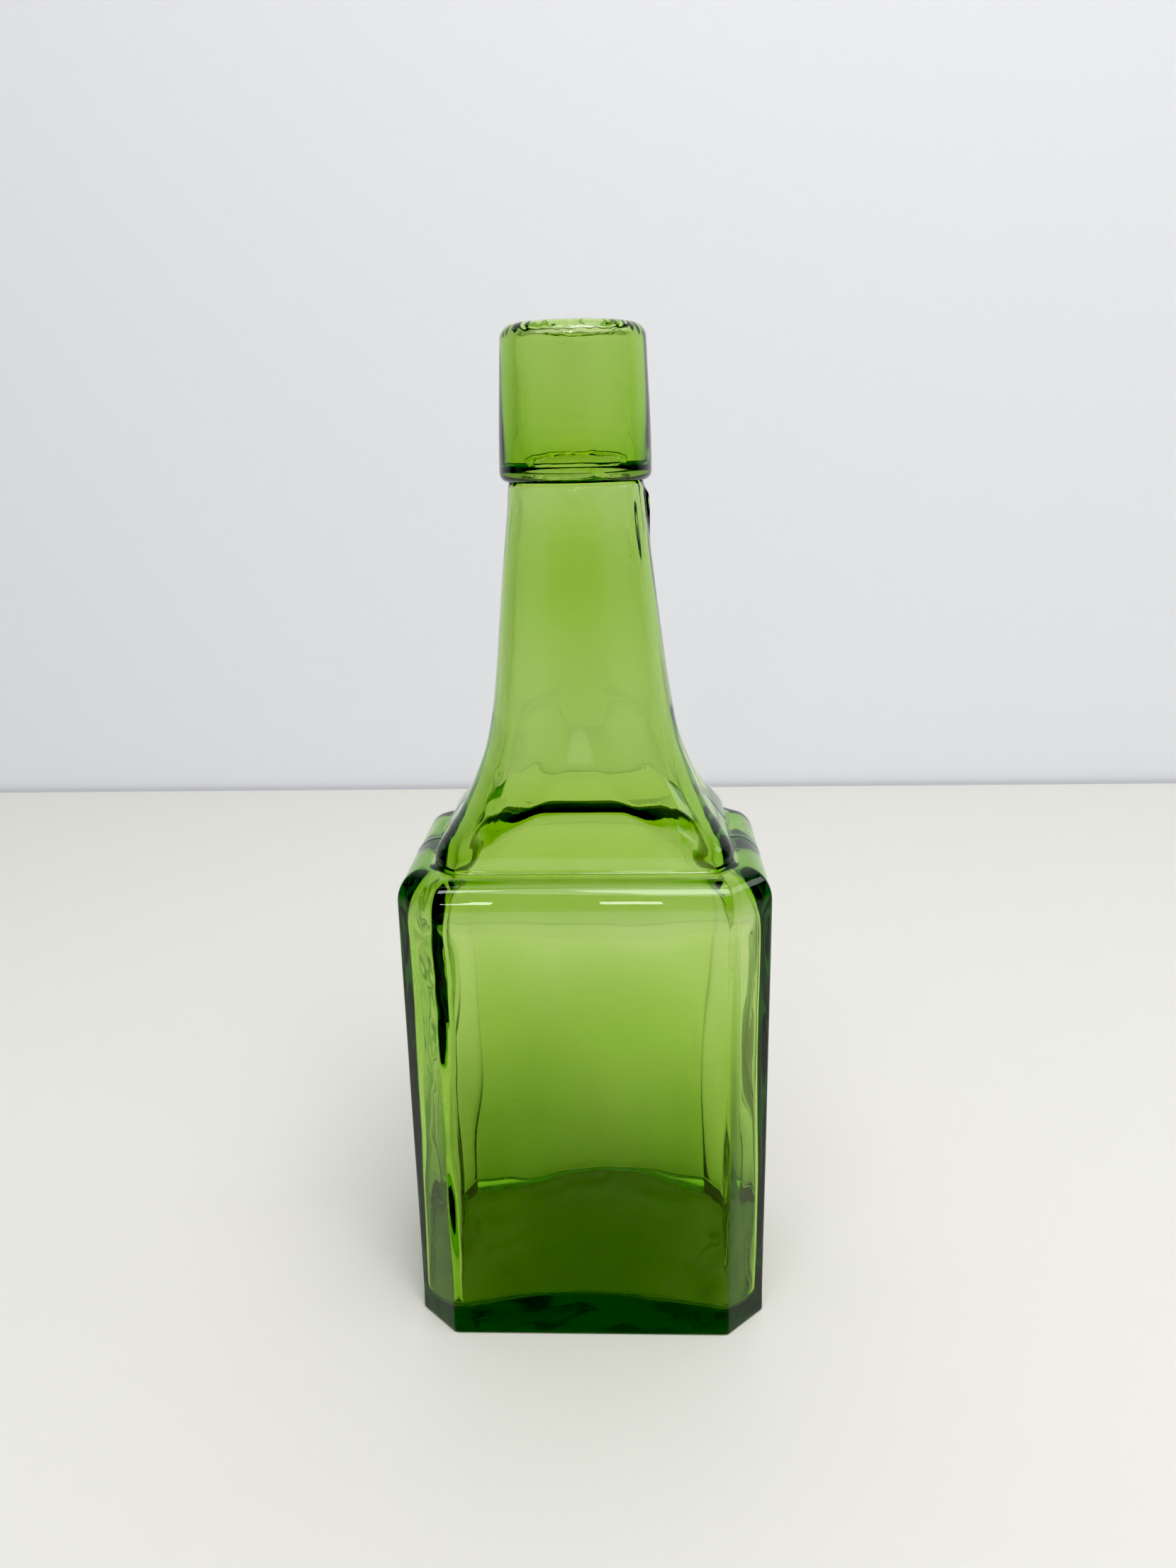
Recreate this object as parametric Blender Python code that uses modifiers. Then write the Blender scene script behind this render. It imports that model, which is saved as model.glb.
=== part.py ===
"""A chamfered rectangular glass bottle with a square-to-round flared neck and a laid-on lip collar.

Two closed solids, in metres, standing on z = 0 with the neck's axis on z: the blown body, which
ends in a plain spigot, and the lip collar, whose socket sits over that spigot.
"""

import math

import bmesh
import bpy

MM = 0.001

# Driving dimensions, in millimetres
BODY_WIDTH = 72.0
BODY_DEPTH = 55.0
CHAMFER_LEG = 7.9  # each corner's chamfer, measured along the width and the depth
CORNER_RADIUS = 1.2  # the rounding of the eight upright edges
BASE_EDGE = 1.0
SHOULDER_HEIGHT = 99.2
SHOULDER_INSET = 5.5  # how far the shoulder's rounding runs in
SHOULDER_DROP = 6.5  # and down
TOTAL_HEIGHT = 198.0

FOOT_HALF = (29.0, 21.7)  # the flare's rectangular foot, half width and half depth
FOOT_RADIUS = 7.3
ROUND_FROM = 127.0  # from this height up the neck is round
SEAT_HEIGHT = 170.2  # where the collar's lower edge meets the neck
SPIGOT_TOP = 173.0
SPIGOT_RADIUS = 11.7

WALL = 3.0
BASE_THICKNESS = 5.2
FLOOR_FILLET = 5.5
FLOOR_DOME = 1.8
BEARING_WIDTH = 7.0
BASE_RECESS = 0.8
RECESS_SLOPE = 2.0  # how far in from the bearing face the recess reaches its full depth

INNER_CORNER_RADIUS = 3.2
INNER_FOOT_HALF_Y = 18.5
INNER_FOOT_RADIUS = 5.8
ROOF_DROP = 5.5  # the inner shoulder's rounding, downwards
ROOF_STEP = 0.4  # between that rounding and the flare's inner foot
FLOOR_RINGS = (0.7, 0.35)  # shares of the floor's size at which the dome has a ring
FLOOR_RING_ROUNDING = 0.5  # each such ring's corner radius, as a share of its half depth

COLLAR_GAP = 0.3
COLLAR_TOP_RADIUS = 13.5
COLLAR_LOW_RADIUS = 14.4
COLLAR_LOW_HEIGHT = 174.5
COLLAR_WAIST = (14.35, 180.5)  # a radius and height part way up the collar's side
RIM_RADIUS = 2.6
BORE_RADIUS = 10.6
LEDGE_RADIUS = 8.6  # the ridge inside the collar's foot, where it was laid on the neck
LEDGE_HEIGHT = 0.6
LEDGE_SLOPE = 2.0  # the height over which the ridge runs out into the bore
MOUTH_RADIUS = 8.2  # the narrow ring just under the rim
MOUTH_RING_DEPTH = 1.9  # from the rim to the ring's lower edge
MOUTH_RING_HEIGHT = 0.6
MOUTH_RING_SLOPE = 1.3
MOUTH_TOP_RADIUS = 10.4

# Half width of the flare and neck against height, outside and inside
OUTER_PROFILE = (
    (SHOULDER_HEIGHT, 29.0), (101.8, 28.7), (104.6, 27.1), (108.0, 24.6), (112.0, 22.4),
    (116.0, 20.7), (120.0, 19.35), (ROUND_FROM, 17.9), (143.0, 15.8), (SEAT_HEIGHT, 12.7),
)
INNER_PROFILE = (
    (95.6, 25.8), (100.0, 24.6), (104.0, 22.9), (108.0, 21.1), (112.0, 19.4),
    (116.0, 17.9), (120.0, 16.7), (ROUND_FROM, 15.3), (143.0, 13.2), (SPIGOT_TOP, 10.4),
)

ARC_STEPS = 4
TURN_STEPS = 48
BASE_EDGE_STEPS = 3
SHOULDER_STEPS = 6
FLARE_STEPS = 12
NECK_STEPS = 7
INNER_STEPS = 5
INNER_FLARE_STEPS = 9
INNER_NECK_STEPS = 6
WELD = 1e-7  # metres
SMOOTH_UP_TO = math.radians(30)
GLASS_ROUGHNESS = 0.04
GLASS_IOR = 1.52
GLASS_TRANSMISSION = 0.9
BODY_COLOUR = (0.22, 0.42, 0.05)
COLLAR_COLOUR = (0.26, 0.46, 0.08)
CHAMFER_SHARE = 2 - math.sqrt(2)  # how much a 45 degree chamfer's leg shrinks for each unit of inset


def outline(half_x, half_y, leg, radius, z):
    """An octagon with rounded corners, as points counterclockwise from the +X side."""
    reach = radius * math.tan(math.pi / 8)
    centres = (
        (half_x - radius, half_y - leg - reach, 0.0),
        (half_x - leg - reach, half_y - radius, math.pi / 4),
    )
    quarter = []
    for centre_x, centre_y, start in centres:
        for step in range(ARC_STEPS + 1):
            angle = start + math.pi / 4 * step / ARC_STEPS
            quarter.append((centre_x + radius * math.cos(angle), centre_y + radius * math.sin(angle)))
    points = list(quarter)
    points += [(-x, y) for x, y in reversed(quarter)]
    points += [(-x, -y) for x, y in quarter]
    points += [(x, -y) for x, y in reversed(quarter)]
    return [(x * MM, y * MM, z * MM) for x, y in points]


def body_ring(inset, z, radius=CORNER_RADIUS):
    """The body's plan pulled in all round by inset."""
    leg = CHAMFER_LEG - inset * CHAMFER_SHARE
    return outline(BODY_WIDTH / 2 - inset, BODY_DEPTH / 2 - inset, leg, radius, z)


def rounded_ring(half_x, half_y, radius, z):
    """A rectangle with rounded corners, which is a circle where both halves equal the radius."""
    return outline(half_x, half_y, radius * CHAMFER_SHARE, radius, z)


def flare_ring(profile, foot_half_y, foot_radius, z):
    """The flare's plan at height z, going from its rectangular foot to a circle at ROUND_FROM."""
    half_x = along(profile, z)
    neck = along(profile, ROUND_FROM)
    share = max(0.0, (half_x - neck) / (profile[0][1] - neck)) if z < ROUND_FROM else 0.0
    half_y = half_x if share == 0.0 else neck + (foot_half_y - neck) * share
    radius = min(half_x, half_y) - (foot_half_y - foot_radius) * share
    return rounded_ring(half_x, half_y, radius, z)


def along(profile, z):
    """The profile's value at height z, on a smooth curve that never overshoots its points."""
    heights = [point[0] for point in profile]
    values = [point[1] for point in profile]
    slopes = [(values[i + 1] - values[i]) / (heights[i + 1] - heights[i]) for i in range(len(profile) - 1)]
    index = 0
    while index < len(slopes) - 1 and z > heights[index + 1]:
        index += 1

    def tangent(i):
        if i == 0 or i == len(profile) - 1:
            return slopes[min(i, len(slopes) - 1)]
        before, after = slopes[i - 1], slopes[i]
        return 2 * before * after / (before + after) if before * after > 0 else 0.0

    span = heights[index + 1] - heights[index]
    t = (z - heights[index]) / span
    start, end = tangent(index) * span, tangent(index + 1) * span
    return (
        (2 * t**3 - 3 * t**2 + 1) * values[index]
        + (t**3 - 2 * t**2 + t) * start
        + (3 * t**2 - 2 * t**3) * values[index + 1]
        + (t**3 - t**2) * end
    )


def heights_between(low, high, count):
    return [low + (high - low) * step / count for step in range(count + 1)]


def quarter_turn(count):
    return [math.pi / 2 * step / count for step in range(count + 1)]


def outer_rings():
    """From the middle of the base's recess, round the outside, to the spigot's end."""
    bearing = BASE_EDGE + BEARING_WIDTH
    rings = [
        body_ring(bearing + RECESS_SLOPE, BASE_RECESS),
        body_ring(bearing, 0.0),
    ]
    rings += [
        body_ring(BASE_EDGE * (1 - math.sin(turn)), BASE_EDGE * (1 - math.cos(turn)))
        for turn in quarter_turn(BASE_EDGE_STEPS)
    ]
    rings += [
        body_ring(
            SHOULDER_INSET * (1 - math.cos(turn)),
            SHOULDER_HEIGHT - SHOULDER_DROP * (1 - math.sin(turn)),
        )
        for turn in quarter_turn(SHOULDER_STEPS)
    ]
    flare_heights = heights_between(SHOULDER_HEIGHT, ROUND_FROM, FLARE_STEPS)
    neck_heights = heights_between(ROUND_FROM, SEAT_HEIGHT, NECK_STEPS)[1:]
    rings += [flare_ring(OUTER_PROFILE, FOOT_HALF[1], FOOT_RADIUS, z) for z in flare_heights]
    rings += [flare_ring(OUTER_PROFILE, FOOT_HALF[1], FOOT_RADIUS, z) for z in neck_heights]
    rings += [
        rounded_ring(SPIGOT_RADIUS, SPIGOT_RADIUS, SPIGOT_RADIUS, z)
        for z in (SEAT_HEIGHT, SPIGOT_TOP)
    ]
    return rings


def inner_rings():
    """From the spigot's end, down the inside, to the middle of the floor."""
    neck_heights = heights_between(ROUND_FROM, SPIGOT_TOP, INNER_NECK_STEPS)[1:]
    flare_heights = heights_between(INNER_PROFILE[0][0], ROUND_FROM, INNER_FLARE_STEPS)
    heights = list(reversed(neck_heights)) + list(reversed(flare_heights))
    rings = [flare_ring(INNER_PROFILE, INNER_FOOT_HALF_Y, INNER_FOOT_RADIUS, z) for z in heights]
    roof_inset = BODY_WIDTH / 2 - INNER_PROFILE[0][1] - WALL
    rings += [
        body_ring(
            WALL + roof_inset * (1 - math.cos(turn)),
            INNER_PROFILE[0][0] - ROOF_STEP - ROOF_DROP * (1 - math.sin(turn)),
            INNER_CORNER_RADIUS,
        )
        for turn in reversed(quarter_turn(INNER_STEPS))
    ]
    rings += [
        body_ring(
            WALL + FLOOR_FILLET * (1 - math.cos(turn)),
            BASE_THICKNESS + FLOOR_FILLET * (1 - math.sin(turn)),
            INNER_CORNER_RADIUS,
        )
        for turn in quarter_turn(INNER_STEPS)
    ]
    floor_x = BODY_WIDTH / 2 - WALL - FLOOR_FILLET
    floor_y = BODY_DEPTH / 2 - WALL - FLOOR_FILLET
    rings += [
        rounded_ring(
            floor_x * share,
            floor_y * share,
            floor_y * share * FLOOR_RING_ROUNDING,
            BASE_THICKNESS + FLOOR_DOME * (1 - share**2),
        )
        for share in FLOOR_RINGS
    ]
    return rings


def loft(name, rings):
    """A closed mesh through the rings, with a flat cap at each end."""
    mesh = bpy.data.meshes.new(name)
    shape = bmesh.new()
    loops = [[shape.verts.new(point) for point in ring] for ring in rings]
    count = len(loops[0])
    for lower, upper in zip(loops, loops[1:]):
        for i in range(count):
            following = (i + 1) % count
            shape.faces.new((lower[i], lower[following], upper[following], upper[i]))
    shape.faces.new(list(reversed(loops[0])))
    shape.faces.new(loops[-1])
    bmesh.ops.remove_doubles(shape, verts=shape.verts, dist=WELD)
    shape.to_mesh(mesh)
    shape.free()
    return mesh


def glass_material(name, colour):
    material = bpy.data.materials.new(name)
    material.use_nodes = True
    shader = material.node_tree.nodes["Principled BSDF"]
    shader.inputs["Base Color"].default_value = (*colour, 1.0)
    shader.inputs["Roughness"].default_value = GLASS_ROUGHNESS
    shader.inputs["Metallic"].default_value = 0.0
    shader.inputs["IOR"].default_value = GLASS_IOR
    shader.inputs["Transmission Weight"].default_value = GLASS_TRANSMISSION
    material.diffuse_color = (*colour, 1.0)
    return material


def place(name, mesh, material, collection):
    part = bpy.data.objects.new(name, mesh)
    collection.objects.link(part)
    mesh.materials.append(material)
    mesh.shade_smooth()
    mesh.set_sharp_from_angle(angle=SMOOTH_UP_TO)
    return part


def make_body(collection):
    mesh = loft("bottle_body", outer_rings() + inner_rings())
    return place("bottle_body", mesh, glass_material("body_glass", BODY_COLOUR), collection)


def collar_profile():
    """The collar's section, counted down its outer side, in under the seat and up the bore."""
    socket_radius = SPIGOT_RADIUS + COLLAR_GAP
    socket_top = SPIGOT_TOP + COLLAR_GAP
    lip_bottom = SEAT_HEIGHT + COLLAR_GAP
    lip_radius = OUTER_PROFILE[-1][1]
    rim_centre = (COLLAR_TOP_RADIUS - RIM_RADIUS, TOTAL_HEIGHT - RIM_RADIUS)
    points = []
    for turn in quarter_turn(INNER_STEPS):
        points.append((
            rim_centre[0] + RIM_RADIUS * math.sin(turn),
            rim_centre[1] + RIM_RADIUS * math.cos(turn),
        ))
    points.append(COLLAR_WAIST)
    for turn in quarter_turn(INNER_STEPS):
        points.append((
            lip_radius + (COLLAR_LOW_RADIUS - lip_radius) * math.cos(turn),
            lip_bottom + (COLLAR_LOW_HEIGHT - lip_bottom) * (1 - math.sin(turn)),
        ))
    ledge_top = socket_top + LEDGE_HEIGHT
    ring_low = TOTAL_HEIGHT - MOUTH_RING_DEPTH
    points += [
        (socket_radius, lip_bottom),
        (socket_radius, socket_top),
        (LEDGE_RADIUS, socket_top),
        (LEDGE_RADIUS, ledge_top),
        (BORE_RADIUS, ledge_top + LEDGE_SLOPE),
        (BORE_RADIUS, ring_low - MOUTH_RING_SLOPE),
        (MOUTH_RADIUS, ring_low),
        (MOUTH_RADIUS, ring_low + MOUTH_RING_HEIGHT),
        (MOUTH_TOP_RADIUS, TOTAL_HEIGHT),
    ]
    return points


def make_collar(collection):
    points = collar_profile()
    mesh = bpy.data.meshes.new("lip_collar")
    vertices = [(x * MM, 0.0, z * MM) for x, z in points]
    count = len(vertices)
    mesh.from_pydata(vertices, [(i, (i + 1) % count) for i in range(count)], [])
    part = place("lip_collar", mesh, glass_material("collar_glass", COLLAR_COLOUR), collection)
    turn = part.modifiers.new("turn", "SCREW")
    turn.axis = "Z"
    turn.angle = math.tau
    turn.steps = TURN_STEPS
    turn.render_steps = TURN_STEPS
    turn.use_merge_vertices = True
    turn.merge_threshold = WELD
    turn.use_smooth_shade = True
    return part


def clear_scene():
    for old in list(bpy.data.objects):
        bpy.data.objects.remove(old, do_unlink=True)


def main():
    clear_scene()
    collection = bpy.data.collections.new("glass_bottle")
    bpy.context.scene.collection.children.link(collection)
    make_body(collection)
    make_collar(collection)


main()
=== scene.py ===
"""The finished look of the glass bottle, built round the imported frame.

Two closed glass pieces replace the two CAD solids: the blown body with its neck, and the lip collar.
Lengths are millimetres in the shape functions and metres in the scene.
"""

import math
from collections import namedtuple

import bpy
import numpy as np
from mathutils import Matrix, Vector


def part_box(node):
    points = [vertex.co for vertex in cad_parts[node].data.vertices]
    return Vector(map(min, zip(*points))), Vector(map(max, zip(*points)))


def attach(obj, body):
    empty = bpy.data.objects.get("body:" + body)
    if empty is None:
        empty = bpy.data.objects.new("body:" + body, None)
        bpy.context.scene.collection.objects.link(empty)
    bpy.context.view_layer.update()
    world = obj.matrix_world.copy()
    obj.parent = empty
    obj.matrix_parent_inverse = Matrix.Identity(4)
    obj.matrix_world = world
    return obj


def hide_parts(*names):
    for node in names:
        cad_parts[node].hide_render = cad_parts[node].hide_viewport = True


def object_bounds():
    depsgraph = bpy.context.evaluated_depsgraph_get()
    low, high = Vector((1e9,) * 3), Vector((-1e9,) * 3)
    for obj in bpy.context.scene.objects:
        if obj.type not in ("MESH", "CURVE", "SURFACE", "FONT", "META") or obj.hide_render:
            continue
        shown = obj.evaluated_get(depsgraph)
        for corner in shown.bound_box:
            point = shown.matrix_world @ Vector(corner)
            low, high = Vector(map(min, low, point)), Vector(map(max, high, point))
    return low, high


MM = 0.001
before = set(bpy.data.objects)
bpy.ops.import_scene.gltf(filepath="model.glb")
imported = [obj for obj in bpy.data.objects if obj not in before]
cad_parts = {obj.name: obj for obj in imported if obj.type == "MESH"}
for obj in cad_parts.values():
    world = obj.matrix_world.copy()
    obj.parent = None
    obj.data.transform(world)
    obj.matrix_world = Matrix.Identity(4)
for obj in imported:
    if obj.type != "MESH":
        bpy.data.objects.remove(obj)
cad_low, cad_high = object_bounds()
body_low, body_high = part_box("bottle_body")
collar_low, collar_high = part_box("lip_collar")

# Driving dimensions, from the frame where the frame holds them
COLLAR_GAP = 0.3  # between the two CAD solids
HALF_X = body_high[0] / MM
HALF_Y = body_high[1] / MM
TOTAL = cad_high[2] / MM
SPIGOT_TOP = body_high[2] / MM
SEAT = collar_low[2] / MM - COLLAR_GAP

# The body's outside
CHAMFER = 7.9
CHAMFER_SHARE = 2 - math.sqrt(2)  # what a chamfer's leg loses for each unit of inset
EDGE_RADIUS = 1.3
BASE_EDGE = 0.5
SHOULDER = 99.2
SHOULDER_INSET = 5.5
SHOULDER_DROP = 6.5
BEARING_WIDTH = 6.0
BEARING_MIDDLE = 2.5
# The recess under the base: how far in from the bearing face, and how high
RECESS = ((16.0, 0.85), (12.0, 0.8), (8.0, 0.65), (5.0, 0.42), (2.5, 0.17), (1.0, 0.03), (0.0, 0.0))

# The flare and the neck: half width against height
ROUND_FROM = 127.0
FOOT_HALF_Y = 21.7
FOOT_RADIUS = 7.3
SPIGOT_RADIUS = 11.7
OUTER_PROFILE = (
    (SHOULDER, 29.0), (101.8, 28.7), (104.6, 27.1), (108.0, 24.6), (112.0, 22.4),
    (116.0, 20.7), (120.0, 19.35), (ROUND_FROM, 17.9), (143.0, 15.8), (SEAT, 12.7),
)
FLARE_FOOT = 98.8
INNER_PROFILE = (
    (FLARE_FOOT, 26.0), (101.5, 25.3), (104.5, 23.9), (108.0, 21.6), (112.0, 19.4), (116.0, 17.8),
    (120.0, 16.6), (ROUND_FROM, 15.4), (143.0, 13.2), (152.0, 12.0), (160.0, 11.3), (SPIGOT_TOP, 10.5),
)
# The neck's bore is a little flat: its depth as a share of its width
NECK_DEPTH = (
    (116.0, 1.0), (ROUND_FROM, 0.975), (140.0, 0.945), (152.0, 0.905), (160.0, 0.915), (SPIGOT_TOP, 0.99),
)
NECK_LEAN = 0.7
LEAN_BETWEEN = (100.0, 160.0)

# The hollow
ROOF = 95.6
INNER_FOOT_HALF_Y = 18.2
INNER_FOOT_RADIUS = 4.4
SIDE_WALL = 3.0
FRONT_WALL = 2.5
FLOOR = 2.6
DOME = 1.5
FLOOR_RINGS = (0.88, 0.76, 0.64, 0.52, 0.40, 0.28, 0.16, 0.06)  # shares of the floor's size
FLOOR_LEG = 0.3
FLOOR_RADIUS = 0.5
# Its ridge at the flare's foot, its fillet at the floor, and how far its roof drops to the wall
Rounding = namedtuple("Rounding", "ridge fillet drop")
REAR_ROUNDING = Rounding(ridge=5.0, fillet=3.0, drop=5.4)
FRONT_ROUNDING = Rounding(ridge=0.6, fillet=2.5, drop=8.2)
REAR_BLEND = 0.5  # the sine of the bearing at which the rear's shape has taken over
# Its upright corners as chamfer leg and radius; the front ones change with height
REAR_RIGHT = (5.0, 3.5)
REAR_LEFT = (5.0, 3.0)
FRONT_LEFT_LEG = ((10.0, 6.5), (30.0, 6.3), (42.0, 5.6), (60.0, 6.6))
FRONT_LEFT_RADIUS = ((10.0, 2.0), (30.0, 2.0), (42.0, 6.5), (60.0, 3.0), (74.0, 1.0), (95.0, 1.0))
FRONT_RIGHT_LEG = ((8.0, 5.7), (16.0, 5.7), (36.0, 5.0), (48.0, 4.6), (95.0, 4.6))
FRONT_RIGHT_RADIUS = 2.6

# How finely the rings are spaced
BASE_EDGE_STEPS = 5
WALL_RINGS = 50
SHOULDER_STEPS = 14
FLARE_RINGS = 34
INNER_NECK_RINGS = 36
INNER_FLARE_RINGS = 32
RIDGE_STEPS = 9
ROOF_STEPS = 12
FILLET_STEPS = 12
INNER_WALL_RINGS = 66
PLAN_SPACING = 0.25
CORNER_TURN = np.linspace(0, math.pi / 4, 24)

# Marks along a quarter of the plan: 0 to 1 is the side face, 1 to 2 the chamfer, 2 to 3 the front
QUARTER = np.concatenate([
    (0.0, 0.012, 0.03, 0.07, 0.14, 0.22, 0.30, 0.38, 0.46, 0.54, 0.62, 0.70, 0.77, 0.84, 0.90, 0.94),
    np.linspace(0.965, 1.08, 8),
    np.linspace(1.15, 1.85, 9),
    np.linspace(1.92, 2.035, 8),
    np.linspace(2.06, 3.0, 18),
])
QUADRANTS = ((1, 1), (-1, 1), (-1, -1), (1, -1))
NECK_ANCHORS = (math.radians(29.0), math.radians(43.0))  # the bearings of marks 1 and 2 on the neck


def step(low, high, value):
    """0 below low, 1 above high, and a smooth rise between."""
    share = np.clip((value - low) / (high - low), 0, 1)
    return share * share * (3 - 2 * share)


def quarter_turn(count):
    return np.linspace(0, math.pi / 2, count + 1)


def shares(count):
    """Even steps from just above 0 up to 1."""
    return np.linspace(0, 1, count)[1:]


def table_at(table, z):
    heights, values = zip(*table)
    return float(np.interp(z, heights, values))


def spline(profile, z):
    """Monotone cubic through the profile's points."""
    heights = np.array([p[0] for p in profile], float)
    values = np.array([p[1] for p in profile], float)
    slopes = np.diff(values) / np.diff(heights)
    tangents = np.zeros(len(values))
    tangents[0], tangents[-1] = slopes[0], slopes[-1]
    before, after = slopes[:-1], slopes[1:]
    same = before * after > 0
    tangents[1:-1][same] = 2 * before[same] * after[same] / (before[same] + after[same])
    i = int(np.clip(np.searchsorted(heights, z) - 1, 0, len(slopes) - 1))
    span = heights[i + 1] - heights[i]
    t = (z - heights[i]) / span
    return (
        (2 * t**3 - 3 * t**2 + 1) * values[i]
        + (t**3 - 2 * t**2 + t) * tangents[i] * span
        + (3 * t**2 - 2 * t**3) * values[i + 1]
        + (t**3 - t**2) * tangents[i + 1] * span
    )


def quarter_plan(half_x, half_y, leg, radius, anchors):
    """One corner of the plan, from the side's middle to the front's, along rays spread by its edges."""
    reach = radius * math.tan(math.pi / 8)
    points = [(half_x, 0.0)]
    for cx, cy, start in (
        (half_x - radius, half_y - leg - reach, 0.0),
        (half_x - leg - reach, half_y - radius, math.pi / 4),
    ):
        turn = start + CORNER_TURN
        points.extend(zip(cx + radius * np.cos(turn), cy + radius * np.sin(turn)))
    points.append((0.0, half_y))
    points = np.array(points)
    dense = [points[:1]]
    for a, b in zip(points[:-1], points[1:]):
        count = max(2, int(np.hypot(*(b - a)) / PLAN_SPACING))
        dense.append(a + (b - a) * np.linspace(0, 1, count)[1:, None])
    dense = np.vstack(dense)
    if anchors is None:
        anchors = (math.atan2(half_y - leg, half_x), math.atan2(half_y, half_x - leg))
    rays = np.interp(QUARTER, (0, 1, 2, 3), (0, anchors[0], anchors[1], math.pi / 2))
    length = np.interp(rays, np.arctan2(dense[:, 1], dense[:, 0]), np.hypot(dense[:, 0], dense[:, 1]))
    return np.c_[length * np.cos(rays), length * np.sin(rays)]


def plan(half_x, half_y, corners, z, anchors=None):
    """A closed ring; corners is one (leg, radius), or a list of four, counterclockwise from +X +Y."""
    corners = corners if isinstance(corners, list) else [corners] * len(QUADRANTS)
    ring = []
    for index, (sign_x, sign_y) in enumerate(QUADRANTS):
        quarter = quarter_plan(half_x, half_y, *corners[index], anchors) * (sign_x, sign_y)
        ring.append((quarter if index % 2 == 0 else quarter[::-1])[:-1])
    return np.c_[np.vstack(ring), np.full(len(QUADRANTS) * (len(QUARTER) - 1), z)]


def rounded(radius):
    """A corner whose chamfer is swallowed by its radius."""
    return (radius * CHAMFER_SHARE, radius)


def circle(radius, z):
    return plan(radius, radius, rounded(radius), z, NECK_ANCHORS)


def body_plan(inset, z):
    leg = CHAMFER - inset * CHAMFER_SHARE
    corner = (max(leg, EDGE_RADIUS * CHAMFER_SHARE), EDGE_RADIUS)
    return plan(HALF_X - inset, HALF_Y - inset, corner, z)


def flare_plan(profile, foot_y, foot_radius, z):
    """A rounded rectangle at the profile's foot that becomes a circle by ROUND_FROM."""
    half_x = spline(profile, z)
    neck = spline(profile, ROUND_FROM)
    share = max(0.0, (half_x - neck) / (profile[0][1] - neck)) if z < ROUND_FROM else 0.0
    half_y = neck + (foot_y - neck) * share if share else half_x
    radius = min(half_x, half_y) - (foot_y - foot_radius) * share
    return plan(half_x, half_y, rounded(radius), z, NECK_ANCHORS)


def outer_rings():
    """The body's outside, from the middle of its underside up to the spigot's top."""
    rings = [body_plan(BEARING_WIDTH + inset, z) for inset, z in RECESS]
    rings.append(body_plan(BEARING_MIDDLE, 0.0))
    for t in quarter_turn(BASE_EDGE_STEPS):
        rings.append(body_plan(BASE_EDGE * (1 - math.sin(t)), BASE_EDGE * (1 - math.cos(t))))
    for z in np.linspace(BASE_EDGE, SHOULDER - SHOULDER_DROP, WALL_RINGS)[1:-1]:
        rings.append(body_plan(0.0, z))
    for t in quarter_turn(SHOULDER_STEPS):
        z = SHOULDER - SHOULDER_DROP * (1 - math.sin(t))
        rings.append(body_plan(SHOULDER_INSET * (1 - math.cos(t)), z))
    flare = np.linspace(SHOULDER, ROUND_FROM, FLARE_RINGS)
    neck = np.linspace(ROUND_FROM, SEAT, FLARE_RINGS)[1:]
    for z in np.concatenate([flare, neck]):
        rings.append(flare_plan(OUTER_PROFILE, FOOT_HALF_Y, FOOT_RADIUS, z))
    rings += [circle(SPIGOT_RADIUS, SEAT), circle(SPIGOT_RADIUS, SPIGOT_TOP)]
    return np.array(rings)


def inner_corners(z):
    """The hollow's four corners at a height, counterclockwise from the rear right."""
    return [
        REAR_RIGHT,
        REAR_LEFT,
        (table_at(FRONT_LEFT_LEG, z), table_at(FRONT_LEFT_RADIUS, z)),
        (table_at(FRONT_RIGHT_LEG, z), FRONT_RIGHT_RADIUS),
    ]


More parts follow.
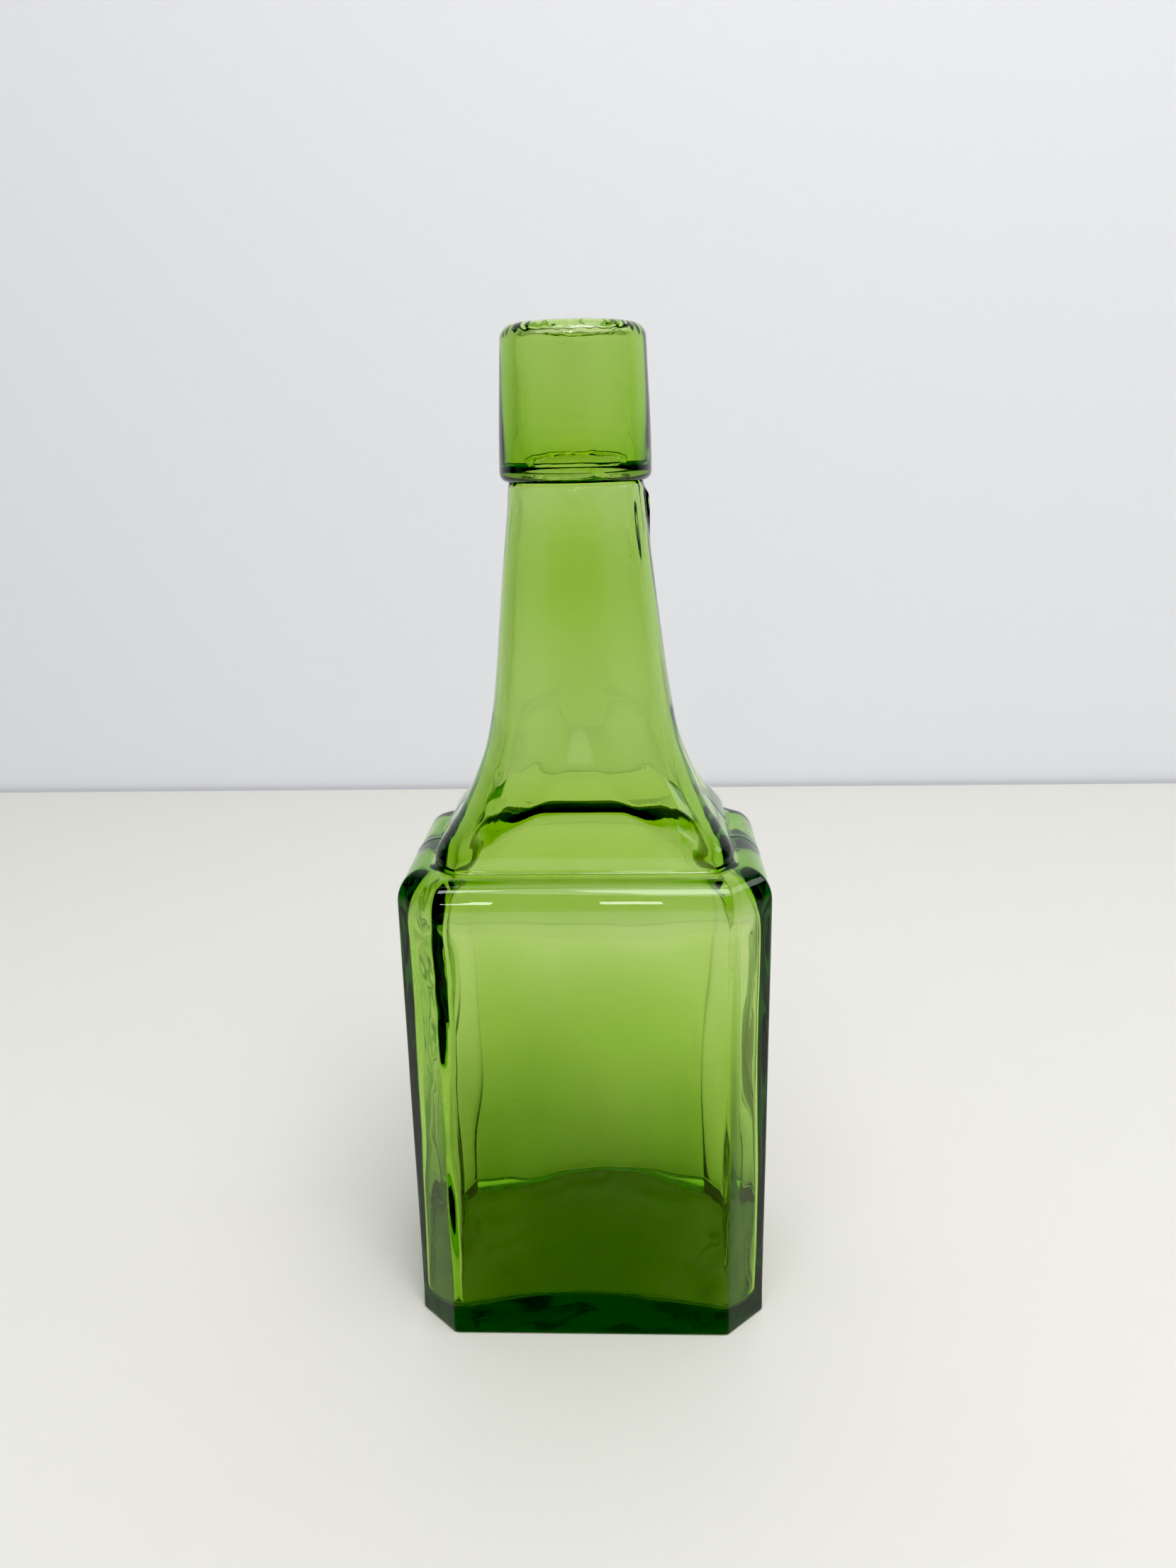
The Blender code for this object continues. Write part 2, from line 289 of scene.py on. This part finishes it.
def inner_half(rounding):
    """The hollow's rings from the spigot's top down to the floor's middle, with one side's roundings."""
    ridge, fillet, drop = rounding
    half_x, half_y = HALF_X - SIDE_WALL, HALF_Y - FRONT_WALL
    foot_x, foot_y = INNER_PROFILE[0][1], INNER_FOOT_HALF_Y
    rings = []

    stretch = (ROUND_FROM - ROOF - ridge) / (ROUND_FROM - FLARE_FOOT)
    neck = np.linspace(SPIGOT_TOP, ROUND_FROM, INNER_NECK_RINGS)
    flare = np.linspace(ROUND_FROM, FLARE_FOOT, INNER_FLARE_RINGS)[1:]
    for z in np.concatenate([neck, flare]):
        ring = flare_plan(INNER_PROFILE, foot_y, INNER_FOOT_RADIUS, z)
        ring[:, 1] *= spline(NECK_DEPTH, max(z, NECK_DEPTH[0][0]))
        ring[:, 2] = z if z > ROUND_FROM else ROUND_FROM + (z - ROUND_FROM) * stretch
        rings.append(ring)

    for t in quarter_turn(RIDGE_STEPS)[1:]:
        out = ridge * (1 - math.cos(t))
        z = ROOF + ridge * (1 - math.sin(t))
        rings.append(plan(foot_x + out, foot_y + out, rounded(INNER_FOOT_RADIUS + out), z))

    roof_x, roof_y = half_x - foot_x - ridge, half_y - foot_y - ridge
    foot_leg, foot_radius = rounded(INNER_FOOT_RADIUS + ridge)
    for t in quarter_turn(ROOF_STEPS)[::-1][1:]:
        pull = 1 - math.cos(t)
        corners = [(leg + (foot_leg - leg) * pull, radius + (foot_radius - radius) * pull)
                   for leg, radius in inner_corners(ROOF)]
        z = ROOF - drop * (1 - math.sin(t))
        rings.append(plan(half_x - roof_x * pull, half_y - roof_y * pull, corners, z))

    for z in np.linspace(ROOF - drop, FLOOR + fillet, INNER_WALL_RINGS)[1:-1]:
        rings.append(plan(half_x, half_y, inner_corners(z), z))

    for t in quarter_turn(FILLET_STEPS):
        inset = fillet * (1 - math.cos(t))
        corners = [(max(leg - inset * CHAMFER_SHARE, radius * CHAMFER_SHARE), radius)
                   for leg, radius in inner_corners(0.0)]
        rings.append(plan(half_x - inset, half_y - inset, corners, FLOOR + fillet * (1 - math.sin(t))))

    floor_x, floor_y = half_x - fillet, half_y - fillet
    for share in FLOOR_RINGS:
        size = floor_y * share
        corner = (size * FLOOR_LEG, size * FLOOR_RADIUS)
        rings.append(plan(floor_x * share, size, corner, FLOOR + DOME * (1 - share**2)))
    return np.array(rings)


def inner_rings():
    """The hollow, which changes from the front's roundings to the rear's round its sides."""
    rear, front = inner_half(REAR_ROUNDING), inner_half(FRONT_ROUNDING)
    bearing = np.arctan2(rear[:, :, 1], rear[:, :, 0])
    share = step(-REAR_BLEND, REAR_BLEND, np.sin(bearing))[:, :, None]
    return rear * share + front * (1 - share)


# The glass's unevenness: each wave's height, length and seed, and how much longer it is upwards
Wave = namedtuple("Wave", "height length seed stretch", defaults=(1.0,))
WAVE_TERMS = 16
WAVE_SPREAD = (0.6, 1.5)
SKIN_SLOW = Wave(0.030, 46.0, 11)
SKIN_FINE = Wave(0.008, 13.0, 12, 2.0)
SKIN_INSET = 0.07
UNDERSIDE = Wave(0.10, 10.0, 28)
INSIDE_SLOW = Wave(0.26, 34.0, 21, 1.6)
INSIDE_CORNER_EXTRA = 0.10
INSIDE_FINE = Wave(0.10, 11.0, 22, 4.0)
INSIDE_CORNERS = Wave(0.035, 6.0, 23, 3.0)
FRONT_LEFT_CORNER = Wave(0.05, 4.0, 27)
NECK_FLUTES = Wave(0.05, 7.0, 24, 8.0)
NECK_SLOW = Wave(0.05, 20.0, 25, 2.0)
NECK_SIDES = Wave(0.10, 3.5, 29, 5.0)
COLLAR_SKIN_SLOW = Wave(0.02, 20.0, 31)
COLLAR_SKIN_FINE = Wave(0.006, 8.0, 32, 2.0)
COLLAR_SKIN_INSET = 0.05
BORE_FLUTES = Wave(0.05, 7.0, 33, 8.0)
BORE_SLOW = Wave(0.05, 16.0, 34)
LEDGE_FINE = Wave(0.08, 1.8, 35)
LEDGE_COARSE = Wave(0.12, 5.0, 36)
LEDGE_TILT = 0.055
MOUTH_EDGE_WAVE = Wave(0.05, 2.0, 38)

# The heights over which the waves come and go
SEAT_CALM = (165.0, 168.5)
TABLE_CALM = (1.0, 4.0)
ROOF_CALM = (84.0, 92.0)
ROOF_CALM_SHARE = 0.93
CORNERS_FROM = (10.0, 14.0)
FRONT_LEFT_FROM = (45.0, 60.0)
RECESS_FROM = (0.25, 0.7)
RECESS_BELOW = 1.0
FACING_DOWN = -0.8
NECK_FROM = (102.0, 124.0)
NECK_GROWS = (120.0, 140.0)
FLARE_SHARE = 0.3
NECK_SIDES_FROM = (148.0, 162.0)
NECK_SIDES_BEYOND = (6.0, 10.0)  # from the neck's middle plane
COLLAR_SKIN_FROM = (170.5, 172.0)
BORE_CALM = (194.0, 196.0)
LEDGE_CALM = (172.6, 174.0)
MOUTH_FROM = (194.6, 195.6)
MOUTH_TO = (196.6, 197.6)

# The mould's seam up the flare's sides, and the fin of glass on the neck's right, under the collar
SEAM_HEIGHT = 0.12
SEAM_WIDTH = 0.45
SEAM_FROM = (94.0, 97.0)
SEAM_TO = (118.0, 124.0)
FIN_HEIGHT = 0.75
FIN_WIDTH = 0.5
FIN_FROM = (157.5, 166.5)
FIN_TO = (168.0, 169.2)

# The sag of the glass inside: an arched floor, an arched rear ridge, and a thick heel
FLOOR_ARCH = 4.0
FLOOR_ARCH_REACH = 30.0
FLOOR_ARCH_TO = (6.0, 18.0)
RIDGE_DROP = 0.2
RIDGE_ARCH = 2.1
RIDGE_ARCH_REACH = 22.0
RIDGE_ARCH_LIMIT = 24.0
RIDGE_BELOW_ROOF = 6.0
RIDGE_REARWARD = (-8.0, 10.0)
RIDGE_TOP = 108.0
REAR_BELLY = 3.0
REAR_BELLY_TO = (42.0, 80.0)
REAR_HEEL = 3.0
REAR_HEEL_TOP = 62.0
REAR_HEEL_POWER = 1.3
REAR_TOE = 2.0
REAR_TOE_HEIGHT = 7.0
FRONT_HEEL = 2.3
FRONT_HEEL_TO = (15.0, 95.0)


def swell(points, wave):
    """A smooth random field of about the wave's height."""
    source = np.random.default_rng(wave.seed)
    aim = source.normal(size=(WAVE_TERMS, 3))
    aim /= np.linalg.norm(aim, axis=1)[:, None]
    turns = aim * (math.tau / wave.length * source.uniform(*WAVE_SPREAD, WAVE_TERMS))[:, None]
    phase = source.uniform(0, math.tau, WAVE_TERMS)
    field = np.sin(points * (1, 1, 1 / wave.stretch) @ turns.T + phase).sum(axis=1)
    return wave.height * field / math.sqrt(WAVE_TERMS / 2)


def body_waves(points, normals, inside):
    """How far each vertex of the body moves along its normal."""
    x, y, z = points.T
    free = 1 - step(*SEAT_CALM, z)
    corner = np.clip(np.abs(normals[:, 0] * normals[:, 1]) * 2, 0, 1)

    waves = swell(points, INSIDE_SLOW) * (1 + INSIDE_CORNER_EXTRA / INSIDE_SLOW.height * corner)
    waves += swell(points, INSIDE_FINE)
    waves += swell(points, INSIDE_CORNERS) * corner * step(*CORNERS_FROM, z)
    waves *= 1 - ROOF_CALM_SHARE * step(*ROOF_CALM, z)
    front_left = corner * (x < 0) * (y < 0) * step(*FRONT_LEFT_FROM, z)
    waves += swell(points, FRONT_LEFT_CORNER) * front_left

    neck = swell(points, NECK_FLUTES) + swell(points, NECK_SLOW)
    sides = step(*NECK_SIDES_FROM, z) * step(*NECK_SIDES_BEYOND, np.abs(x))
    neck += swell(points, NECK_SIDES) * sides
    neck *= FLARE_SHARE + (1 - FLARE_SHARE) * step(*NECK_GROWS, z)
    upper = step(*NECK_FROM, z)
    waves = (waves * (1 - upper) + neck * upper) * free

    skin = swell(points, SKIN_SLOW) + swell(points, SKIN_FINE) - SKIN_INSET
    skin *= free * step(*TABLE_CALM, z)
    recess = step(*RECESS_FROM, z) * (z < RECESS_BELOW) * (normals[:, 2] < FACING_DOWN)
    under = swell(points, UNDERSIDE) * recess
    seam = SEAM_HEIGHT * np.exp(-((y / SEAM_WIDTH) ** 2)) * step(*SEAM_FROM, z) * (1 - step(*SEAM_TO, z))
    fin = FIN_HEIGHT * np.exp(-((y / FIN_WIDTH) ** 2)) * (x > 0)
    fin *= step(*FIN_FROM, z) * (1 - step(*FIN_TO, z))
    return np.where(inside, waves, skin + seam + fin + under)


def body_sag(points, inside):
    """The floor and the rear ridge are arched, and the wall thickens towards the heel."""
    x, y, z = points.T
    arch = 1 - np.clip(x / FLOOR_ARCH_REACH, -1, 1) ** 2
    lift = FLOOR_ARCH * arch * (1 - step(*FLOOR_ARCH_TO, z))
    along = np.clip(x, -RIDGE_ARCH_LIMIT, RIDGE_ARCH_LIMIT) / RIDGE_ARCH_REACH
    ridge = -(RIDGE_DROP + RIDGE_ARCH * along**2) * step(ROOF - RIDGE_BELOW_ROOF, ROOF, z)
    ridge *= step(*RIDGE_REARWARD, y) * (1 - step(FLARE_FOOT, RIDGE_TOP, z))
    points[:, 2] += np.where(inside, lift + ridge, 0.0)

    # z looks into points, so the heel follows the heights as they now are
    rear = REAR_BELLY * (1 - step(*REAR_BELLY_TO, z))
    rear += REAR_HEEL * np.clip(1 - z / REAR_HEEL_TOP, 0, 1) ** REAR_HEEL_POWER
    rear += REAR_TOE * np.exp(-z / REAR_TOE_HEIGHT)
    heel = np.where(y > 0, rear, FRONT_HEEL * (1 - step(*FRONT_HEEL_TO, z)))
    points[:, 1] *= np.where(inside, 1 - heel / HALF_Y, 1.0)
    return points


def lean(points):
    """The neck stands a little to the left of the body's middle."""
    points[:, 0] -= NECK_LEAN * step(*LEAN_BETWEEN, points[:, 2])
    return points


def new_mesh(name, points, faces):
    """A mesh and its vertex normals."""
    mesh = bpy.data.meshes.new(name)
    mesh.from_pydata([tuple(p) for p in points], [], faces)
    normals = np.empty(len(points) * 3, np.float32)
    mesh.vertices.foreach_get("normal", normals)
    return mesh, normals.reshape(-1, 3).astype(float)


def settle(mesh, points):
    """Moves the mesh's vertices to the points, leaning with the neck, in metres."""
    mesh.vertices.foreach_set("co", (lean(points) * MM).ravel())
    mesh.validate()
    mesh.update()
    return mesh


def loft(name, rings, inner_from):
    """A closed mesh through the rings, with a fan at each end, worked by the glass's waves."""
    count, around = rings.shape[:2]
    faces = []
    for r in range(count - 1):
        for k in range(around):
            n = (k + 1) % around
            faces.append((r * around + k, r * around + n, (r + 1) * around + n, (r + 1) * around + k))
    points = [*rings.reshape(-1, 3)]
    for ring, flip in ((0, True), (count - 1, False)):
        centre = len(points)
        points.append(rings[ring].mean(axis=0))
        for k in range(around):
            a, b = ring * around + k, ring * around + (k + 1) % around
            faces.append((b, a, centre) if flip else (a, b, centre))
    points = np.array(points)
    mesh, normals = new_mesh(name, points, faces)
    inside = np.zeros(len(points), bool)
    inside[inner_from * around:count * around] = True
    inside[-1] = True
    points += normals * body_waves(points, normals, inside)[:, None]
    return settle(mesh, body_sag(points, inside))


# The lip collar
MEET = 0.02  # how far its joint faces reach into the neck's
COLLAR_TOP_RADIUS = 13.5
COLLAR_LOW_RADIUS = 14.4
COLLAR_LOW_HEIGHT = 172.0
COLLAR_BULGE = 1.4
RIM_RADIUS = 2.6
SOCKET_MOUTH = 10.4
LEDGE_RADIUS = 8.6
LEDGE_DROP = 0.6  # from the spigot's top to the ledge's tip
LEDGE_WIDTH = 1.1
LEDGE_EDGE = 0.35
LEDGE_RISE = 0.25
LEDGE_RUN_OUT = 9.0  # the height over which the ledge runs out into the bore
BORE_RADIUS = 10.6
BORE_ROUNDING = 0.7
BORE_ROUNDING_DROP = 0.8
BORE_TOP_SLOPE = 0.1
MOUTH_RADIUS = 8.2
MOUTH_EDGE = 0.3
MOUTH_DEPTH = 1.7
# From the mouth's ring up to the rim: how far out, and how high
FUNNEL = ((0.15, 0.5), (0.7, 0.65), (1.4, 0.8), (2.0, 1.0), (2.4, 1.25), (2.6, 1.5), (2.7, MOUTH_DEPTH))
RIM_STEPS = 14
SIDE_STEPS = 14
COLLAR_FOOT_STEPS = 12
LEDGE_STEPS = 7
LEDGE_TOP_STEPS = 5
RUN_OUT_STEPS = 12
BORE_STEPS = 9
BORE_ROUNDING_STEPS = 5
BORE_TOP_STEPS = 5
MOUTH_EDGE_STEPS = 3
COLLAR_TURNS = 200


def collar_outside():
    """From the rim down the side and round the lower edge to the neck, as radius and height."""
    side_top = TOTAL - RIM_RADIUS
    foot_radius, foot_z = OUTER_PROFILE[-1][1], SEAT - MEET
    points = []
    for t in quarter_turn(RIM_STEPS):
        radius = COLLAR_TOP_RADIUS - RIM_RADIUS + RIM_RADIUS * math.sin(t)
        points.append((radius, side_top + RIM_RADIUS * math.cos(t)))
    for s in shares(SIDE_STEPS)[:-1]:
        radius = COLLAR_TOP_RADIUS + (COLLAR_LOW_RADIUS - COLLAR_TOP_RADIUS) * (1 - (1 - s) ** COLLAR_BULGE)
        points.append((radius, side_top + (COLLAR_LOW_HEIGHT - side_top) * s))
    for t in quarter_turn(COLLAR_FOOT_STEPS):
        radius = foot_radius + (COLLAR_LOW_RADIUS - foot_radius) * math.cos(t)
        points.append((radius, foot_z + (COLLAR_LOW_HEIGHT - foot_z) * (1 - math.sin(t))))
    return points


def collar_bore(tip_z):
    """From the ledge's tip up the bore and through the mouth to the rim, as radius and height."""
    roof = TOTAL - MOUTH_DEPTH
    ledge_radius, ledge_z = LEDGE_RADIUS + LEDGE_WIDTH, tip_z + LEDGE_EDGE + LEDGE_RISE
    low, high = ledge_z + LEDGE_RUN_OUT, roof - BORE_ROUNDING_DROP
    wide, narrow = BORE_RADIUS - BORE_ROUNDING, MOUTH_RADIUS + MOUTH_EDGE
    points = []
    for s in shares(LEDGE_TOP_STEPS):
        points.append((LEDGE_RADIUS + LEDGE_WIDTH * s, tip_z + LEDGE_EDGE + LEDGE_RISE * s**3))
    for s in shares(RUN_OUT_STEPS):
        radius = ledge_radius + (BORE_RADIUS - ledge_radius) * (1 - (1 - s) ** 2)
        points.append((radius, ledge_z + LEDGE_RUN_OUT * s))
    for s in shares(BORE_STEPS):
        points.append((BORE_RADIUS, low + (high - low) * s))
    for t in quarter_turn(BORE_ROUNDING_STEPS)[1:]:
        points.append((BORE_RADIUS - BORE_ROUNDING * (1 - math.cos(t)), high + BORE_ROUNDING * math.sin(t)))
    for s in shares(BORE_TOP_STEPS):
        points.append((wide + (narrow - wide) * s, roof - BORE_TOP_SLOPE * (1 - s)))
    for t in quarter_turn(MOUTH_EDGE_STEPS)[1:]:
        points.append((MOUTH_RADIUS + MOUTH_EDGE * (1 - math.sin(t)), roof + MOUTH_EDGE * (1 - math.cos(t))))
    for out, rise in FUNNEL:
        points.append((MOUTH_RADIUS + out, roof + rise))
    return points


def collar_section():
    """The collar's closed section, and where its joint, its ledge and its bore begin."""
    points = collar_outside()
    joint = len(points)
    socket_radius, socket_z = SPIGOT_RADIUS - MEET, SPIGOT_TOP - MEET
    points += [(socket_radius, SEAT - MEET), (socket_radius, socket_z), (SOCKET_MOUTH, socket_z)]
    ledge = len(points)
    for s in shares(LEDGE_STEPS):
        radius = SOCKET_MOUTH + (LEDGE_RADIUS - SOCKET_MOUTH) * math.sin(s * math.pi / 2)
        points.append((radius, socket_z - LEDGE_DROP * s * s))
    bore = len(points)
    points += collar_bore(SPIGOT_TOP - LEDGE_DROP)
    return np.array(points), (joint, ledge, bore)


def turned(name, section, marks):
    """The section turned round the axis into a closed ring, worked by the glass's waves."""
    joint, ledge, bore = marks
    count = len(section)
    turns = np.linspace(0, math.tau, COLLAR_TURNS, endpoint=False)
    radius, height = section.T
    points = np.stack([
        radius[None, :] * np.cos(turns)[:, None],
        radius[None, :] * np.sin(turns)[:, None],
        np.repeat(height[None, :], COLLAR_TURNS, axis=0),
    ], axis=-1).reshape(-1, 3)
    faces = []
    for a in range(COLLAR_TURNS):
        b = (a + 1) % COLLAR_TURNS
        for k in range(count):
            n = (k + 1) % count
            faces.append((a * count + n, a * count + k, b * count + k, b * count + n))
    mesh, normals = new_mesh(name, points, faces)
    # The faces are wound inwards up to here
    mesh.flip_normals()
    normals = -normals

    index = np.tile(np.arange(count), COLLAR_TURNS)
    z = points[:, 2]
    skin = swell(points, COLLAR_SKIN_SLOW) + swell(points, COLLAR_SKIN_FINE) - COLLAR_SKIN_INSET
    skin *= step(*COLLAR_SKIN_FROM, z)
    bore_waves = (swell(points, BORE_FLUTES) + swell(points, BORE_SLOW)) * (1 - step(*BORE_CALM, z))
    ragged = swell(points, LEDGE_FINE) + swell(points, LEDGE_COARSE) + LEDGE_TILT * points[:, 1]
    mouth = swell(points, MOUTH_EDGE_WAVE) * step(*MOUTH_FROM, z) * (1 - step(*MOUTH_TO, z))
    growing = np.clip((index - ledge + 1) / (bore - ledge), 0, 1)
    share = np.where(index < bore, growing, 1 - step(*LEDGE_CALM, z))
    out = np.where(index < joint, skin, np.where(index < bore, 0.0, bore_waves))
    points = points + normals * out[:, None]
    points[:, 2] += ragged * share + mouth * (index >= bore)
    return settle(mesh, points)


# Clear yellow-green glass
GLASS_IOR = 1.52
GLASS_COLOUR = (0.66, 0.847, 0.17)
GLASS_DENSITY = 350.0


def glass(name):
    """Clear glass, coloured by the depth that the light goes through."""
    material = bpy.data.materials.new(name)
    material.use_nodes = True
    nodes, links = material.node_tree.nodes, material.node_tree.links
    shader = nodes["Principled BSDF"]
    shader.inputs["Base Color"].default_value = (1.0, 1.0, 1.0, 1.0)
    shader.inputs["Roughness"].default_value = 0.0
    shader.inputs["IOR"].default_value = GLASS_IOR
    shader.inputs["Transmission Weight"].default_value = 1.0
    volume = nodes.new("ShaderNodeVolumeAbsorption")
    volume.inputs["Color"].default_value = (*GLASS_COLOUR, 1.0)
    volume.inputs["Density"].default_value = GLASS_DENSITY
    links.new(volume.outputs["Volume"], nodes["Material Output"].inputs["Volume"])
    return material


def add(name, mesh, node, material):
    """Puts a glass piece in the scene, in place of its CAD node."""
    piece = bpy.data.objects.new(name, mesh)
    bpy.context.scene.collection.objects.link(piece)
    mesh.materials.append(material)
    mesh.shade_smooth()
    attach(piece, "root")
    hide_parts(node)


outside = outer_rings()
body_mesh = loft("bottle_body_glass", np.concatenate([outside, inner_rings()]), len(outside))
add("bottle_body_glass", body_mesh, "bottle_body", glass("body_glass_clear"))
collar_mesh = turned("lip_collar_glass", *collar_section())
add("lip_collar_glass", collar_mesh, "lip_collar", glass("collar_glass_clear"))

# The table and the wall behind it, in metres
TABLE_HALF_WIDTH = 2.0
TABLE_FRONT = -1.5
TABLE_BACK = 0.37
TABLE_TOP = -0.00008
TABLE_COLOUR = (0.80, 0.79, 0.74)
WALL_GAP = 0.004
WALL_FOOT = -0.3
WALL_TOP = 1.8
WALL_COLOUR = (0.88, 0.89, 0.92)
MATTE_ROUGHNESS = 0.6


def matte(name, colour):
    material = bpy.data.materials.new(name)
    material.use_nodes = True
    shader = material.node_tree.nodes["Principled BSDF"]
    shader.inputs["Base Color"].default_value = (*colour, 1.0)
    shader.inputs["Roughness"].default_value = MATTE_ROUGHNESS
    return material


def sheet(name, near, far, material):
    """A flat rectangle across the set; near and far are the (y, z) of its two long edges."""
    mesh = bpy.data.meshes.new(name)
    left, right = -TABLE_HALF_WIDTH, TABLE_HALF_WIDTH
    mesh.from_pydata([(left, *near), (right, *near), (right, *far), (left, *far)], [], [(0, 1, 2, 3)])
    mesh.materials.append(material)
    piece = bpy.data.objects.new(name, mesh)
    bpy.context.scene.collection.objects.link(piece)


sheet("table", (TABLE_FRONT, TABLE_TOP), (TABLE_BACK, TABLE_TOP), matte("table_white", TABLE_COLOUR))
wall_y = TABLE_BACK + WALL_GAP
sheet("backdrop", (wall_y, WALL_FOOT), (wall_y, WALL_TOP), matte("backdrop_white", WALL_COLOUR))

# The lamps: place and aim in metres, size across and along, power in watts
Lamp = namedtuple("Lamp", "name place aim size power colour", defaults=((1.0, 1.0, 1.0),))
BOTTLE_AIM = (0.0, 0.0, 0.1)
LAMPS = (
    Lamp("overhead", (0.27, -0.60, 1.15), (0.05, -0.35, 0.0), (1.0, 0.8), 5.9, (1.0, 0.985, 0.965)),
    Lamp("key", (0.275, -0.70, 1.25), BOTTLE_AIM, (0.65, 0.42), 4.8, (1.0, 0.99, 0.975)),
    Lamp("fill", (-0.345, -0.65, 1.25), BOTTLE_AIM, (0.30, 0.28), 1.4),
    Lamp("side", (1.03, 0.12, 0.70), BOTTLE_AIM, (0.35, 0.25), 0.6),
    Lamp("wall_wash", (0.1, -0.1, 0.95), (0.0, 0.37, 0.34), (0.8, 0.2), 0.45),
    Lamp("glint_middle", (0.018, -1.4, 0.61), BOTTLE_AIM, (0.08, 0.20), 0.5),
    Lamp("glint_left", (-0.224, -1.4, 0.61), BOTTLE_AIM, (0.035, 0.20), 0.24),
)


def hang(lamp):
    """A rectangular lamp that isn't seen through the glass."""
    data = bpy.data.lights.new(lamp.name, "AREA")
    data.shape = "RECTANGLE"
    data.size, data.size_y = lamp.size
    data.energy = lamp.power
    data.color = lamp.colour
    light = bpy.data.objects.new(lamp.name, data)
    bpy.context.scene.collection.objects.link(light)
    light.location = lamp.place
    light.visible_transmission = False
    light.rotation_euler = (Vector(lamp.aim) - Vector(lamp.place)).to_track_quat("-Z", "Y").to_euler()


for each in LAMPS:
    hang(each)

# The room round the table, by the direction looked in
ROOM_FRONT = (-0.97, -0.6)
ROOM_HIGH = (0.25, 0.75)
ROOM_DARK = (0.05, 0.05, 0.055, 1)
ROOM_BRIGHT = (0.80, 0.82, 0.86, 1)
ROOM_STRENGTH = 0.54


def ramp(nodes, links, source, ends):
    """0 at the first end of the source's range and 1 at the second."""
    node = nodes.new("ShaderNodeMapRange")
    node.inputs["From Min"].default_value, node.inputs["From Max"].default_value = ends
    links.new(source, node.inputs["Value"])
    return node.outputs["Result"]


def studio_world():
    """Bright above, to the sides and behind, and dark in front."""
    world = bpy.data.worlds.new("studio")
    bpy.context.scene.world = world
    world.use_nodes = True
    nodes, links = world.node_tree.nodes, world.node_tree.links
    place = nodes.new("ShaderNodeTexCoord")
    split = nodes.new("ShaderNodeSeparateXYZ")
    links.new(place.outputs["Generated"], split.inputs["Vector"])
    most = nodes.new("ShaderNodeMath")
    most.operation = "MAXIMUM"
    links.new(ramp(nodes, links, split.outputs["Y"], ROOM_FRONT), most.inputs[0])
    links.new(ramp(nodes, links, split.outputs["Z"], ROOM_HIGH), most.inputs[1])
    mix = nodes.new("ShaderNodeMix")
    mix.data_type = "RGBA"
    mix.inputs["A"].default_value = ROOM_DARK
    mix.inputs["B"].default_value = ROOM_BRIGHT
    links.new(most.outputs["Value"], mix.inputs["Factor"])
    links.new(mix.outputs["Result"], nodes["Background"].inputs["Color"])
    nodes["Background"].inputs["Strength"].default_value = ROOM_STRENGTH


studio_world()

# The camera, in millimetres and degrees
SENSOR = 36.0
LENS = 36.8896926
CLIP_START = 0.01  # metres
PITCH, ROLL, TURN = (math.radians(angle) for angle in (16.3, 1.148, 2.44))
DISTANCE = 253.224
TARGET_ASIDE = 0.0864
TARGET_DEPTH = 8.5
TARGET_HEIGHT = 107.964


def make_camera():
    data = bpy.data.cameras.new("camera")
    data.sensor_fit = "HORIZONTAL"
    data.sensor_width = SENSOR
    data.lens = LENS
    data.clip_start = CLIP_START
    camera = bpy.data.objects.new("camera", data)
    bpy.context.scene.collection.objects.link(camera)
    level = math.cos(PITCH)
    forward = Vector((-math.sin(TURN) * level, math.cos(TURN) * level, -math.sin(PITCH)))
    right = Vector((math.cos(TURN), math.sin(TURN), 0))
    up = right.cross(forward)
    rolled_right = right * math.cos(ROLL) - up * math.sin(ROLL)
    rolled_up = right * math.sin(ROLL) + up * math.cos(ROLL)
    target = Vector((
        TARGET_ASIDE * math.cos(TURN),
        TARGET_ASIDE * math.sin(TURN) + TARGET_DEPTH,
        TARGET_HEIGHT,
    ))
    place = (target - forward * DISTANCE) * MM
    axes = Matrix((rolled_right, rolled_up, -forward)).transposed()
    camera.matrix_world = Matrix.Translation(place) @ axes.to_4x4()
    bpy.context.scene.camera = camera


make_camera()

BLACK_LEVEL = 0.038
GLASS_BOUNCES = 32
GLOSSY_BOUNCES = 16
scene = bpy.context.scene
scene.view_settings.view_transform = "Standard"
scene.view_settings.use_curve_mapping = True
scene.view_settings.curve_mapping.black_level = (BLACK_LEVEL, BLACK_LEVEL, BLACK_LEVEL)
scene.cycles.max_bounces = GLASS_BOUNCES
scene.cycles.transmission_bounces = GLASS_BOUNCES
scene.cycles.glossy_bounces = GLOSSY_BOUNCES
